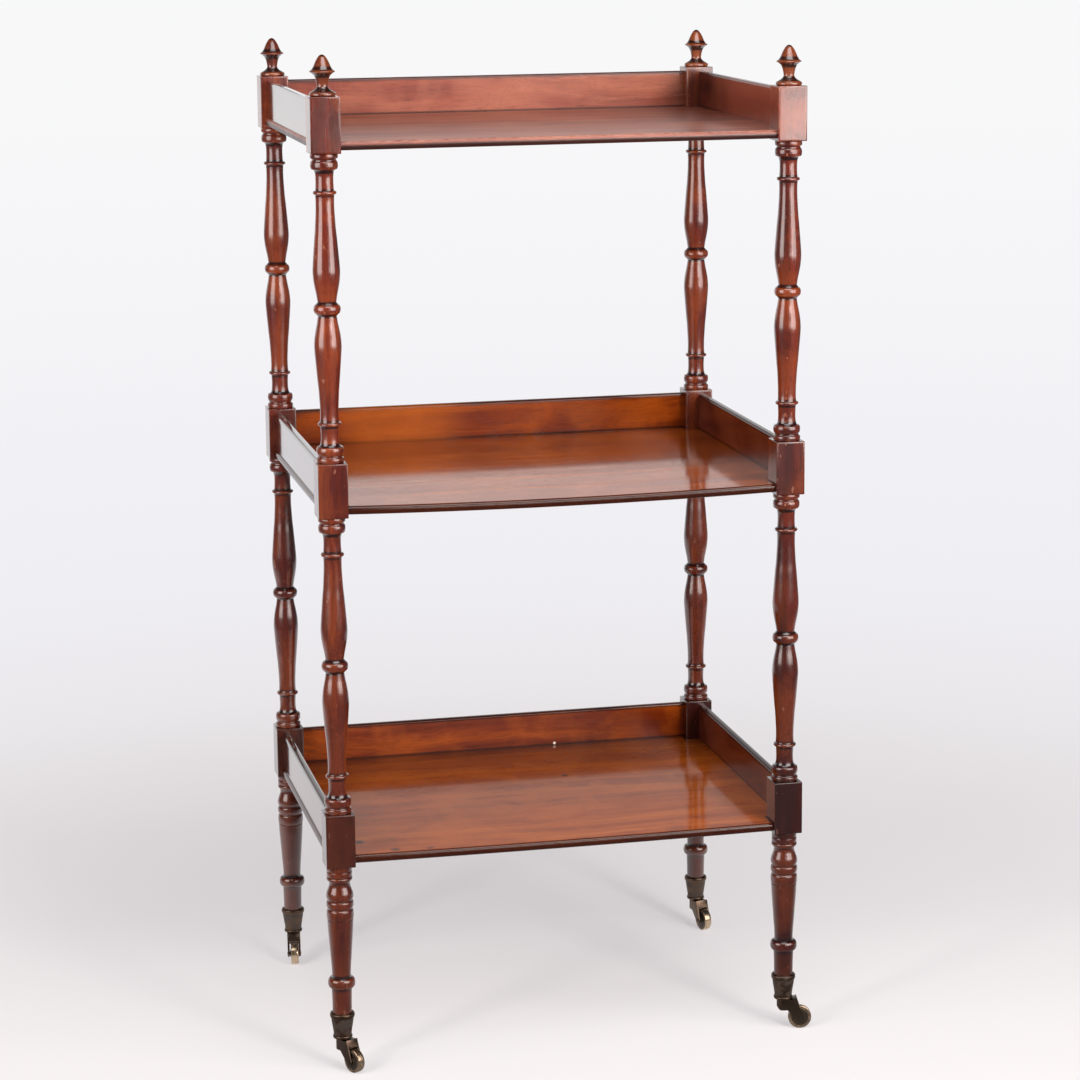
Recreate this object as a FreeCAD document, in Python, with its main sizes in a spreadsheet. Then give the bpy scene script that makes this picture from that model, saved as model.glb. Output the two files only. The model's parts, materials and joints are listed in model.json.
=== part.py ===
import FreeCAD, Part
import math
import os
import re

import Sketcher

# A three-tier mahogany etagere on four swivelling brass casters.
# Millimetres. +Z is up, the floor is Z = 0 and the open front faces -Y.

doc = FreeCAD.newDocument("Etagere")
dims = doc.addObject("Spreadsheet::Sheet", "Dims")

SIZES = [
    # The whole
    ("post_spacing_x", 500, "between post centres, left to right"),
    ("post_spacing_y", 364.3, "between post centres, front to back"),
    ("centre_x", -8, "middle of the four posts; the casters trail to the right of it"),
    ("centre_y", 7, "middle of the four posts; the casters trail forward of it"),
    ("foot_height", 35, "floor to the underside of the caster cups"),
    ("tier_pitch", 382, "shelf to shelf"),
    ("joint_gap", 0.1, "room for glue in every wood joint"),
    ("cut_over", 2, "how far a cutter runs past the face it cuts"),
    # Post blocks, the square lengths that take the shelves
    ("block_side", 31.6, "across the flats"),
    ("block_height", 58.5, "square length"),
    ("leg_height", 195.6, "foot of the post to the lowest block"),
    # Turned spindle between two blocks, from one end to its middle
    ("drum_radius", 14.5, "collar and bead next to the block"),
    ("drum_height", 14.8, ""),
    ("neck_radius", 9.7, ""),
    ("neck_bottom", 18.6, ""),
    ("ring_level", 40.7, "thin ring above the neck"),
    ("ring_radius", 12.4, ""),
    ("ring_half", 2.2, "half its height"),
    ("stem_radius", 10.3, "slender start of the swelling"),
    ("stem_level", 70, ""),
    ("swell_radius", 14.2, "fullest part of the vase"),
    ("swell_bottom", 117, ""),
    ("swell_top", 129, ""),
    ("waist_radius", 10.2, "next to the middle knop"),
    ("waist_level", 152.4, ""),
    ("knop_radius", 14.2, "bead at half height"),
    ("knop_level", 157.2, "where its drum starts"),
    # Leg turning, heights above its lower end in the cup
    ("spigot_level", 6, "end of the wood inside the cup"),
    ("spigot_radius", 8.2, ""),
    ("ankle_level", 29.2, "shoulder of the leg, on the top of the cup"),
    ("ankle_radius", 10.5, ""),
    ("foot_bead_level", 63.1, "middle of the lowest bead"),
    ("foot_bead_radius", 14.9, ""),
    ("foot_bead_half", 5.4, "half its height"),
    ("shin_radius", 10.4, ""),
    ("shin_level", 80, ""),
    ("knee_radius", 13.9, "top of the taper"),
    ("knee_level", 128, ""),
    ("rings_radius", 14.8, "group of rings"),
    ("rings_bottom", 137.5, ""),
    ("rings_top", 162.5, ""),
    ("hollow_radius", 11.4, "hollow under the top collar"),
    ("hollow_level", 174.9, ""),
    ("top_collar_radius", 14.1, ""),
    ("top_collar_level", 179.6, ""),
    # Finial, heights above the top of the post
    ("base_ring_radius", 14, ""),
    ("base_ring_height", 3.8, ""),
    ("finial_neck_radius", 5.65, ""),
    ("finial_neck_bottom", 8.2, ""),
    ("finial_neck_top", 12, ""),
    ("cup_turn_radius", 8.85, "flare under the flange"),
    ("cup_turn_level", 21.6, ""),
    ("flange_radius", 13.45, ""),
    ("flange_level", 25.3, ""),
    ("spire_radius", 8.9, ""),
    ("spire_level", 30, ""),
    ("spire_tip_radius", 4.3, ""),
    ("spire_tip_level", 39.6, ""),
    ("finial_height", 42.6, ""),
    ("dowel_radius", 4, ""),
    ("dowel_length", 14, ""),
    # Shelf
    ("shelf_thickness", 9, ""),
    ("shelf_level", 3, "above the lower end of its block"),
    ("shelf_reach", 11.5, "edge beyond the post centres"),
    ("nosing_radius", 5.2, "round of the edge"),
    ("housing_depth", 5, "shelf let into the block faces"),
    ("housing_setback", 5.5, "housing kept behind the rounded edge"),
    ("let_in", 1, "depth of the grooves for the boards, and of the shoulder on each corner"),
    # Gallery board
    ("board_thickness", 9, ""),
    ("board_drop", 5, "its top below the top of the block"),
    ("board_round", 2.5, "round on its top corners"),
    ("tenon_thickness", 4, ""),
    ("tenon_setback", 2.5, "behind the inner face of the board"),
    ("tenon_height", 30, ""),
    ("tenon_length", 10, ""),
    # Caster cup, heights above its underside
    ("rim_radius", 13.5, "rolled rim"),
    ("rim_level", 26.3, ""),
    ("cup_height", 28.9, ""),
    ("cup_lip_radius", 11.9, "outer radius of the very top"),
    ("cup_waist_radius", 10, ""),
    ("cup_waist_level", 5.6, ""),
    ("cup_foot_radius", 10.65, ""),
    ("cup_floor", 2.6, "thickness of the floor under the leg"),
    ("socket_gap", 0.15, "between leg and socket"),
    ("cup_screw_radius", 1.25, ""),
    ("cup_screw_length", 9, ""),
    ("cup_screw_level", 20, ""),
    ("cup_screw_reach", 12.6, "its head from the cup axis"),
    # Swivel pin
    ("pin_radius", 3.2, ""),
    ("pin_head_radius", 5.4, ""),
    ("pin_head_height", 1.8, ""),
    ("pin_drop", 14, "its riveted end below the cup"),
    ("pin_flare", 4.2, "radius of the riveted end"),
    ("running_gap", 0.06, "turning fit, on the radius"),
    ("swivel_gap", 0.4, "between pieces that turn past each other"),
    # Fork
    ("trail", 18.6, "axle behind the swivel pin"),
    ("fork_width", 15.4, "over both arms"),
    ("fork_top", 0.4, "head below the cup"),
    ("fork_depth", 12.6, "underside of the head below the cup"),
    ("axle_boss_radius", 4.1, ""),
    ("horn_reach", 15.2, "raised point at the back of the head"),
    ("horn_rise", 1.4, "its height above the head"),
    # Wheel
    ("wheel_radius", 13, ""),
    ("wheel_width", 10, ""),
    ("tread_edge", 1.2, "chamfer on the tread"),
    ("wheel_clearance", 1.3, "wheel to the inside of the fork"),
    ("axle_radius", 1.9, ""),
    ("axle_end", 0.5, "riveted end proud of the fork"),
    # Trail directions, degrees from +X towards +Y
    ("trail_front_left", 300.2, ""),
    ("trail_front_right", 347.6, ""),
    ("trail_back_left", 263.2, ""),
    ("trail_back_right", 284.4, ""),
]

for row, (alias, size, note) in enumerate(SIZES, start=1):
    dims.set(f"A{row}", alias.replace("_", " ") + (": " + note if note else ""))
    dims.set(f"B{row}", str(size))
    dims.setAlias(f"B{row}", alias)
doc.recompute()

ALIASES = {alias for alias, _size, _note in SIZES}


def bound(name):
    """The expression that reads the driving sizes that a name or a sum of names means."""
    return re.sub(r"[a-z_]+", lambda word: ("Dims." if word[0] in ALIASES else "") + word[0], name)


def value(name):
    """The number that such an expression gives now."""
    result = dims.evalExpression(bound(name))
    return float(getattr(result, "Value", result))


def bind(thing, prop, name):
    thing.setExpression(prop, bound(name))


def place(thing, x="0", y="0", z="0"):
    bind(thing, "Placement.Base.x", x)
    bind(thing, "Placement.Base.y", y)
    bind(thing, "Placement.Base.z", z)


def sketch_on(body, role, name):
    sketch = body.newObject("Sketcher::SketchObject", name)
    plane = [item for item in body.Origin.OriginFeatures if item.Role == role][0]
    sketch.AttachmentSupport = (plane, "")
    sketch.MapMode = "FlatFace"
    return sketch


def pin_point(sketch, edge, x, y):
    """Ties the start of one edge to its named position."""
    for kind, axis, name in (("DistanceX", -2, x), ("DistanceY", -1, y)):
        if name == "0":
            sketch.addConstraint(Sketcher.Constraint("PointOnObject", edge, 1, axis))
            continue
        index = sketch.addConstraint(Sketcher.Constraint(kind, -1, 1, edge, 1, value(name)))
        bind(sketch, f"Constraints[{index}]", name)


def arc_between(start, end, radius):
    """Arc from start to end that bulges to the right of the way there."""
    half = (end - start) * 0.5
    rise = math.sqrt(radius * radius - half.Length * half.Length)
    left = FreeCAD.Vector(-half.y, half.x, 0).normalize()
    centre = start + half + left * rise
    first = math.atan2(start.y - centre.y, start.x - centre.x)
    last = math.atan2(end.y - centre.y, end.x - centre.x)
    circle = Part.Circle(centre, FreeCAD.Vector(0, 0, 1), radius)
    return Part.ArcOfCircle(circle, first, last)


def outline(sketch, points):
    """Closed outline. A point is (x, y), or (x, y, radius) where an arc leaves it."""
    spots = [FreeCAD.Vector(value(point[0]), value(point[1]), 0) for point in points]
    count = len(points)
    for edge, point in enumerate(points):
        start, end = spots[edge], spots[(edge + 1) % count]
        if len(point) == 3:
            sketch.addGeometry(arc_between(start, end, value(point[2])), False)
        else:
            sketch.addGeometry(Part.LineSegment(start, end), False)
    for edge in range(count):
        following = (edge + 1) % count
        sketch.addConstraint(Sketcher.Constraint("Coincident", edge, 2, following, 1))
    for edge, point in enumerate(points):
        pin_point(sketch, edge, point[0], point[1])
        if len(point) == 3:
            index = sketch.addConstraint(Sketcher.Constraint("Radius", edge, value(point[2])))
            bind(sketch, f"Constraints[{index}]", point[2])


def rectangle(sketch, x0, x1, y0, y1):
    outline(sketch, [(x0, y0), (x1, y0), (x1, y1), (x0, y1)])


def turning(name, points, role="XZ_Plane"):
    """A body turned about Z from a half outline of (radius, height), or on XY_Plane about Y."""
    body = doc.addObject("PartDesign::Body", name)
    sketch = sketch_on(body, role, name + "_profile")
    outline(sketch, points)
    turn = body.newObject("PartDesign::Revolution", name + "_turn")
    turn.Profile = sketch
    turn.ReferenceAxis = (sketch, ["V_Axis"])
    turn.Angle = 360
    sketch.Visibility = False
    return body


def padded(body, sketch, name, length):
    """A pad of the whole length, half to each side of the sketch."""
    pad = body.newObject("PartDesign::Pad", name)
    pad.Profile = sketch
    pad.Midplane = True
    bind(pad, "Length", length)
    sketch.Visibility = False
    return pad


def bar(name, section, length, role="YZ_Plane"):
    """A body of constant section, centred on the plane of that section."""
    body = doc.addObject("PartDesign::Body", name)
    sketch = sketch_on(body, role, name + "_section")
    outline(sketch, section)
    padded(body, sketch, name + "_bar", length)
    return body


def stretch(side, near, far):
    """The low end and the length of a stretch from near to far on one side."""
    low = f"( {near} )" if side > 0 else f"0 - ( {far} )"
    return low, f"( {far} ) - ( {near} )"


def block(name, x, y, z):
    """A box from three stretches."""
    box = doc.addObject("Part::Box", name)
    for prop, axis, (low, length) in zip(("Length", "Width", "Height"), "xyz", (x, y, z)):
        bind(box, prop, length)
        bind(box, f"Placement.Base.{axis}", low)
    return box


def cylinder(name, radius, height, x="0", y="0", z="0"):
    rod = doc.addObject("Part::Cylinder", name)
    bind(rod, "Radius", radius)
    bind(rod, "Height", height)
    place(rod, x, y, z)
    return rod


def along_y(thing):
    """Lays a piece that was made about Z on its side, about Y."""
    turn = FreeCAD.Rotation(FreeCAD.Vector(1, 0, 0), -90)
    thing.Placement = FreeCAD.Placement(FreeCAD.Vector(0, 0, 0), turn)


def fused(name, shapes):
    group = doc.addObject("Part::MultiFuse", name)
    group.Shapes = shapes
    group.Refine = False
    return group


def cut(name, base, tool):
    result = doc.addObject("Part::Cut", name)
    result.Base = base
    result.Tool = tool
    result.Refine = False
    return result


# --- Names of repeated places ---------------------------------------------------------------

CORNERS = {
    "front_left": (-1, -1),
    "front_right": (1, -1),
    "back_left": (-1, 1),
    "back_right": (1, 1),
}
TIERS = {"lower": 0, "middle": 1, "upper": 2}
parts = {}


def finish(name, thing):
    """Records a finished piece under its own name."""
    thing.Label = name
    parts[name] = thing


def corner_x(side):
    return "centre_x + post_spacing_x / 2" if side > 0 else "centre_x - post_spacing_x / 2"


def corner_y(side):
    return "centre_y + post_spacing_y / 2" if side > 0 else "centre_y - post_spacing_y / 2"


def tier_base(tier):
    """Lower end of a tier's block above the foot of the post."""
    return f"leg_height + {tier} * tier_pitch"


# --- Turned posts ---------------------------------------------------------------------------

HALF_SPINDLE = [
    ("drum_radius", "0"),
    ("drum_radius", "drum_height"),
    ("neck_radius", "neck_bottom"),
    ("neck_radius", "ring_level - ring_half"),
    ("ring_radius", "ring_level"),
    ("neck_radius", "ring_level + ring_half"),
    ("stem_radius", "stem_level"),
    ("swell_radius", "swell_bottom"),
    ("swell_radius", "swell_top"),
    ("waist_radius", "waist_level"),
    ("knop_radius", "knop_level"),
]


def spindle(tier):
    """Outline between the blocks of two tiers, the same from both ends."""
    low = f"{tier_base(tier)} + block_height"
    high = tier_base(tier + 1)
    up = [(radius, f"{low} + {level}") for radius, level in HALF_SPINDLE]
    down = [(radius, f"{high} - ( {level} )") for radius, level in reversed(HALF_SPINDLE)]
    return up + down


LEG = [
    ("0", "spigot_level"),
    ("spigot_radius", "spigot_level"),
    ("spigot_radius", "ankle_level"),
    ("ankle_radius", "ankle_level"),
    ("ankle_radius", "foot_bead_level - foot_bead_half"),
    ("foot_bead_radius", "foot_bead_level"),
    ("shin_radius", "foot_bead_level + foot_bead_half"),
    ("shin_radius", "shin_level"),
    ("knee_radius", "knee_level"),
    ("rings_radius", "rings_bottom"),
    ("rings_radius", "rings_top"),
    ("hollow_radius", "hollow_level"),
    ("top_collar_radius", "top_collar_level"),
    ("top_collar_radius", "leg_height"),
]
turnings = LEG + spindle(0) + spindle(1) + [("0", tier_base(2))]
turned_post = turning("turned_post", turnings)

post_blocks = []
for tier_name, tier in TIERS.items():
    half = ("0 - block_side / 2", "block_side")
    post_blocks.append(
        block(f"{tier_name}_square", half, half, (tier_base(tier), "block_height"))
    )
post_blank = fused("post_blank", [turned_post] + post_blocks)

post_top = f"{tier_base(2)} + block_height"
dowel_hole = cylinder(
    "dowel_hole",
    "dowel_radius + joint_gap",
    "dowel_length + 1 + cut_over",
    z=f"{post_top} - dowel_length - 1",
)

# The screw through the back of the cup reaches into the leg.
screw_room = cylinder("screw_room", "cup_screw_radius + joint_gap", "cup_screw_length + cut_over")
along_y(screw_room)
place(screw_room, "0", "cup_screw_reach - cup_screw_length - 0.3", "cup_screw_level")

# A gallery board's tenon lies outside the plane through the post centres.
TENON_SIDE = ("tenon_setback - joint_gap", "tenon_setback + tenon_thickness + joint_gap")
TENON_DEPTH = ("block_side / 2 - tenon_length - joint_gap", "block_side / 2 + cut_over")
HOUSING_DEPTH = ("block_side / 2 - housing_depth - joint_gap", "block_side / 2 + cut_over")
HOUSING_RUN = "shelf_reach - housing_setback + joint_gap"


def board_height():
    return "( block_height - board_drop - shelf_level - shelf_thickness + let_in )"


def post_cutters(corner, side_x, side_y):
    """Housings for the shelf corners and mortises for the boards that meet this post."""
    cutters = [dowel_hole, screw_room]
    for tier_name, tier in TIERS.items():
        name = f"{corner}_{tier_name}"
        base = tier_base(tier)
        shelf = (f"{base} + shelf_level - joint_gap", "shelf_thickness - let_in + 2 * joint_gap")
        board_level = f"{base} + shelf_level + shelf_thickness - let_in"
        tenon_low = f"{board_level} + ( {board_height()} - tenon_height ) / 2"
        tenon = (f"{tenon_low} - joint_gap", "tenon_height + 2 * joint_gap")
        # The housing runs from behind the shelf's rounded edge to the inner corner.
        run_low = {1: "0 - ( block_side / 2 + cut_over )", -1: f"0 - ( {HOUSING_RUN} )"}
        run = f"block_side / 2 + cut_over + {HOUSING_RUN}"
        deep_x = stretch(-side_x, *HOUSING_DEPTH)
        deep_y = stretch(-side_y, *HOUSING_DEPTH)
        cutters.append(block(f"{name}_housing_x", deep_x, (run_low[side_y], run), shelf))
        cutters.append(block(f"{name}_housing_y", (run_low[side_x], run), deep_y, shelf))
        side_board = stretch(side_x, *TENON_SIDE)
        into_side = stretch(-side_y, *TENON_DEPTH)
        cutters.append(block(f"{name}_side_mortise", side_board, into_side, tenon))
        if side_y > 0:
            back_board = stretch(side_y, *TENON_SIDE)
            into_back = stretch(-side_x, *TENON_DEPTH)
            cutters.append(block(f"{name}_back_mortise", into_back, back_board, tenon))
    return cutters


for corner, (side_x, side_y) in CORNERS.items():
    joints = fused(f"{corner}_joints", post_cutters(corner, side_x, side_y))
    post = cut(f"post_{corner}", post_blank, joints)
    place(post, corner_x(side_x), corner_y(side_y), "foot_height")
    finish(f"post_{corner}", post)

# --- Finials --------------------------------------------------------------------------------

FINIAL = [
    ("0", "0 - dowel_length"),
    ("dowel_radius", "0 - dowel_length"),
    ("dowel_radius", "0"),
    ("base_ring_radius", "0"),
    ("base_ring_radius", "base_ring_height"),
    ("finial_neck_radius", "finial_neck_bottom"),
    ("finial_neck_radius", "finial_neck_top"),
    ("cup_turn_radius", "cup_turn_level"),
    ("flange_radius", "flange_level"),
    ("spire_radius", "spire_level"),
    ("spire_tip_radius", "spire_tip_level"),
    ("0", "finial_height"),
]
for corner, (side_x, side_y) in CORNERS.items():
    finial = turning(f"finial_{corner}", FINIAL)
    place(finial, corner_x(side_x), corner_y(side_y), f"foot_height + {post_top}")
    finish(f"finial_{corner}", finial)

# --- Shelves --------------------------------------------------------------------------------


def rounded_slab(half_width):
    """Section of a board with both edges rounded, its underside at height 0."""
    inset = "sqrt( nosing_radius ^ 2 - ( shelf_thickness / 2 ) ^ 2 )"
    edge = f"{half_width} - ( nosing_radius - {inset} )"
    return [
        (f"0 - ( {edge} )", "0"),
        (edge, "0", "nosing_radius"),
        (edge, "shelf_thickness"),
        (f"0 - ( {edge} )", "shelf_thickness", "nosing_radius"),
    ]


half_x = "( post_spacing_x / 2 + shelf_reach )"
half_y = "( post_spacing_y / 2 + shelf_reach )"
across = bar("shelf_across", rounded_slab(half_y), f"2 * {half_x}", "YZ_Plane")
along = bar("shelf_along", rounded_slab(half_x), f"2 * {half_y}", "XZ_Plane")
shelf_blank = doc.addObject("Part::Common", "shelf_blank")
shelf_blank.Base = across
shelf_blank.Tool = along

# Each corner is notched round its block, and reaches into the block's two inner faces.
# Steps of the notch: how far outward of the post centre each one starts, along X and Y.
AT_FACE = "0 - ( block_side / 2 + joint_gap )"
IN_HOUSING = "0 - ( block_side / 2 - housing_depth )"
BEHIND_EDGE = "shelf_reach - housing_setback"
NOTCH = [(AT_FACE, BEHIND_EDGE), (IN_HOUSING, IN_HOUSING), (BEHIND_EDGE, AT_FACE)]
SLAB = ("0 - cut_over", "shelf_thickness + 2 * cut_over")
LET_IN = ("shelf_thickness - let_in", "let_in + cut_over")


def corner_notches(corner, side_x, side_y):
    """Boxes from each step of the notch out past the corner, and the shoulder in its housing."""
    steps = []
    levels = [SLAB] * len(NOTCH) + [LET_IN]
    for number, (start_x, start_y) in enumerate(NOTCH + [(AT_FACE, AT_FACE)]):
        x = stretch(side_x, f"post_spacing_x / 2 + {start_x}", f"{half_x} + cut_over")
        y = stretch(side_y, f"post_spacing_y / 2 + {start_y}", f"{half_y} + cut_over")
        steps.append(block(f"{corner}_notch_{number}", x, y, levels[number]))
    return steps


def groove(side, spacing):
    """Where the groove for a board lies outward of the post centres on one side."""
    return stretch(side, f"{spacing} / 2 - joint_gap", f"{spacing} / 2 + board_thickness + joint_gap")


def between_posts(spacing):
    """The stretch between the shoulders of two corners."""
    return f"0 - {spacing} / 2 - ( {AT_FACE} )", f"{spacing} + 2 * ( {AT_FACE} )"


shelf_cutters = [
    block("back_groove", between_posts("post_spacing_x"), groove(1, "post_spacing_y"), LET_IN),
    block("left_groove", groove(-1, "post_spacing_x"), between_posts("post_spacing_y"), LET_IN),
    block("right_groove", groove(1, "post_spacing_x"), between_posts("post_spacing_y"), LET_IN),
]
for corner, (side_x, side_y) in CORNERS.items():
    shelf_cutters += corner_notches(corner, side_x, side_y)
shelf_joints = fused("shelf_joints", shelf_cutters)

for tier_name, tier in TIERS.items():
    shelf = cut(f"shelf_{tier_name}", shelf_blank, shelf_joints)
    place(shelf, "centre_x", "centre_y", f"foot_height + {tier_base(tier)} + shelf_level")
    finish(f"shelf_{tier_name}", shelf)

# --- Gallery boards -------------------------------------------------------------------------

round_start = f"{board_height()} - board_round"
BOARD = [
    ("0", "0"),
    ("board_thickness", "0"),
    ("board_thickness", round_start, "board_round"),
    ("board_thickness - board_round", board_height()),
    ("board_round", board_height(), "board_round"),
    ("0", round_start),
]


def gallery_board(name, spacing, direction):
    """A board and its two tenons along local X, its inner face on the local XZ plane."""
    body = bar(name, BOARD, f"{spacing} - block_side - 2 * joint_gap")
    sketch = sketch_on(body, "YZ_Plane", name + "_tenon_section")
    tenon_low = f"( {board_height()} - tenon_height ) / 2"
    rectangle(
        sketch,
        "tenon_setback",
        "tenon_setback + tenon_thickness",
        tenon_low,
        f"{tenon_low} + tenon_height",
    )
    padded(body, sketch, name + "_tenons", f"{spacing} - block_side + 2 * tenon_length")
    body.Placement = FreeCAD.Placement(
        FreeCAD.Vector(0, 0, 0), FreeCAD.Rotation(FreeCAD.Vector(0, 0, 1), direction)
    )
    return body


for tier_name, tier in TIERS.items():
    level = f"foot_height + {tier_base(tier)} + shelf_level + shelf_thickness - let_in"
    back = gallery_board(f"gallery_back_{tier_name}", "post_spacing_x", 0)
    place(back, "centre_x", corner_y(1), level)
    finish(f"gallery_back_{tier_name}", back)
    for side_name, side, direction in (("left", -1, 90), ("right", 1, 270)):
        board = gallery_board(f"gallery_{side_name}_{tier_name}", "post_spacing_y", direction)
        place(board, corner_x(side), "centre_y", level)
        finish(f"gallery_{side_name}_{tier_name}", board)

# --- Casters --------------------------------------------------------------------------------
# Drawn with the swivel pin on the Z axis, the underside of the cup at height 0 and the wheel
# trailing along +X.

SOCKET = "spigot_radius + socket_gap"
CUP = [
    ("pin_radius + running_gap", "0"),
    ("cup_foot_radius", "0"),
    ("cup_waist_radius", "cup_waist_level"),
    ("rim_radius", "rim_level"),
    ("cup_lip_radius", "cup_height"),
    (SOCKET, "cup_height"),
    (SOCKET, "cup_floor"),
    ("pin_radius + running_gap", "cup_floor"),
]
PIN = [
    ("0", "0 - pin_drop"),
    ("pin_flare", "0 - pin_drop"),
    ("pin_radius", "0 - fork_depth - running_gap"),
    ("pin_radius", "cup_floor + running_gap"),
    ("pin_head_radius", "cup_floor + running_gap"),
    ("pin_head_radius", "cup_floor + running_gap + pin_head_height"),
    ("0", "cup_floor + running_gap + pin_head_height"),
]
axle_level = "( wheel_radius - foot_height )"
boss = "axle_boss_radius"
# Side view of the fork: head round the pin, then two arms that narrow to the axle.
FORK_SIDE = [
    ("0 - fork_width / 2", "0 - fork_top - 4.5", "7"),
    ("0 - fork_width / 2 + 4.5", "0 - fork_depth"),
    ("fork_width / 2 - 3", "0 - fork_depth"),
    (f"trail - {boss} * 0.7071", f"{axle_level} - {boss} * 0.7071", boss),
    (f"trail + {boss} * 0.9397", f"{axle_level} + {boss} * 0.342"),
    ("horn_reach + 0.8", "0 - fork_top - 2.2"),
    ("horn_reach", "0 - fork_top + horn_rise"),
    ("horn_reach - 3.2", "0 - fork_top"),
    ("0 - fork_width / 2", "0 - fork_top"),
]
# Plan of the fork: round at the pin, parallel arms behind it.
FORK_PLAN = [
    ("0", "0 - fork_width / 2"),
    ("trail + axle_boss_radius + 1", "0 - fork_width / 2"),
    ("trail + axle_boss_radius + 1", "fork_width / 2"),
    ("0", "fork_width / 2", "fork_width / 2 + 0.02"),
]
AXLE = [
    ("0", "0 - fork_width / 2 - axle_end"),
    ("axle_radius", "0 - fork_width / 2 - axle_end"),
    ("axle_radius", "fork_width / 2 + axle_end"),
    ("0", "fork_width / 2 + axle_end"),
]
WHEEL = [
    ("axle_radius + running_gap", "0 - wheel_width / 2"),
    ("wheel_radius - tread_edge", "0 - wheel_width / 2"),
    ("wheel_radius", "0 - wheel_width / 2 + tread_edge"),
    ("wheel_radius", "wheel_width / 2 - tread_edge"),
    ("wheel_radius - tread_edge", "wheel_width / 2"),
    ("axle_radius + running_gap", "wheel_width / 2"),
]


def at_axle(thing, half_length):
    """Moves a cutter laid along Y to the axle, its middle on the wheel's middle."""
    place(thing, "trail", f"0 - ( {half_length} )", axle_level)


def at_corner(thing, corner):
    """Carries a caster piece to its own corner."""
    side_x, side_y = CORNERS[corner]
    place(thing, corner_x(side_x), corner_y(side_y), "foot_height")


def trailing(thing, corner, reach="0", level="foot_height"):
    """Carries a turning piece to its corner, along its trail and round to face along it."""
    side_x, side_y = CORNERS[corner]
    angle = f"trail_{corner}"
    thing.Placement = FreeCAD.Placement(
        FreeCAD.Vector(0, 0, 0), FreeCAD.Rotation(FreeCAD.Vector(0, 0, 1), value(angle))
    )
    bind(thing, "Placement.Rotation.Angle", angle)
    x = f"{corner_x(side_x)} + {reach} * cos( {angle} )"
    y = f"{corner_y(side_y)} + {reach} * sin( {angle} )"
    place(thing, x, y, level)


cup_turning = turning("cup_turning", CUP)
fork_side = bar("fork_side", FORK_SIDE, "fork_width", "XZ_Plane")
fork_plan = bar("fork_plan", FORK_PLAN, "4 * foot_height", "XY_Plane")
fork_solid = doc.addObject("Part::Common", "fork_solid")
fork_solid.Base = fork_side
fork_solid.Tool = fork_plan

wheel_room = cylinder(
    "wheel_room", "wheel_radius + wheel_clearance", "wheel_width + 2 * swivel_gap"
)
along_y(wheel_room)
at_axle(wheel_room, "wheel_width / 2 + swivel_gap")
axle_hole = cylinder("axle_hole", "axle_radius + running_gap", "fork_width + 2 * cut_over")
along_y(axle_hole)
at_axle(axle_hole, "fork_width / 2 + cut_over")
pin_hole = cylinder(
    "pin_hole", "pin_radius + running_gap", "foot_height", z="cut_over - foot_height"
)
fork_cutters = fused("fork_cutters", [wheel_room, axle_hole, pin_hole])

screws = []
for corner, (side_x, side_y) in CORNERS.items():
    cup = cut(f"caster_cup_{corner}", cup_turning, screw_room)
    at_corner(cup, corner)
    finish(f"caster_cup_{corner}", cup)

    screw = cylinder(f"cup_screw_{corner}", "cup_screw_radius", "cup_screw_length")
    along_y(screw)
    back = f"{corner_y(side_y)} + cup_screw_reach - cup_screw_length"
    place(screw, corner_x(side_x), back, "foot_height + cup_screw_level")
    screws.append(screw)

    fork = cut(f"caster_fork_{corner}", fork_solid, fork_cutters)
    trailing(fork, corner)
    finish(f"caster_fork_{corner}", fork)

    pin = turning(f"swivel_pin_{corner}", PIN)
    trailing(pin, corner)
    finish(f"swivel_pin_{corner}", pin)

    axle = turning(f"axle_{corner}", AXLE, "XY_Plane")
    trailing(axle, corner, "trail", "wheel_radius")
    finish(f"axle_{corner}", axle)

    wheel = turning(f"caster_wheel_{corner}", WHEEL, "XY_Plane")
    trailing(wheel, corner, "trail", "wheel_radius")
    finish(f"caster_wheel_{corner}", wheel)

cup_screws = doc.addObject("Part::Compound", "cup_screws")
cup_screws.Links = screws
finish("cup_screws", cup_screws)

# --- Checks and files -----------------------------------------------------------------------

doc.recompute()
for item in doc.Objects:
    if "Invalid" in item.State or "Error" in item.State:
        raise RuntimeError(f"{item.Name} failed: {item.State}")
for cutting in (item for item in doc.Objects if item.TypeId == "Part::Cut"):
    if cutting.Shape.Volume > cutting.Base.Shape.Volume - 1:
        raise RuntimeError(f"{cutting.Name} took nothing off")
os.makedirs("parts", exist_ok=True)
for name, piece in parts.items():
    shape = piece.Shape
    solids = len(CORNERS) if name == "cup_screws" else 1
    if shape.isNull() or not shape.isValid() or len(shape.Solids) != solids:
        raise RuntimeError(f"{name} has a bad shape with {len(shape.Solids)} solids")
for name, piece in parts.items():
    piece.Shape.exportStep(f"parts/{name}.step")
print("pieces", len(parts))
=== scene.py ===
import json
import math
from collections import namedtuple

import bmesh
import bpy
from mathutils import Matrix, Vector


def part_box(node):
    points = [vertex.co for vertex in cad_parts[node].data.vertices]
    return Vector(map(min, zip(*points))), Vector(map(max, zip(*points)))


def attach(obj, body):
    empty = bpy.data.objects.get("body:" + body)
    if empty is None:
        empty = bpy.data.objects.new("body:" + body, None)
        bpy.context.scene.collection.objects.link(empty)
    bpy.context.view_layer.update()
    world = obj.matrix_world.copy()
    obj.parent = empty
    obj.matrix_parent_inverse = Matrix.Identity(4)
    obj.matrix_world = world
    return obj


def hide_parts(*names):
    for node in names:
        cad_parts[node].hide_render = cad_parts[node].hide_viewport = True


# A three-tier mahogany etagere on brass casters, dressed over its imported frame.
# Sizes are in millimetres where they are listed, and in metres once they are in a mesh.

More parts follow.
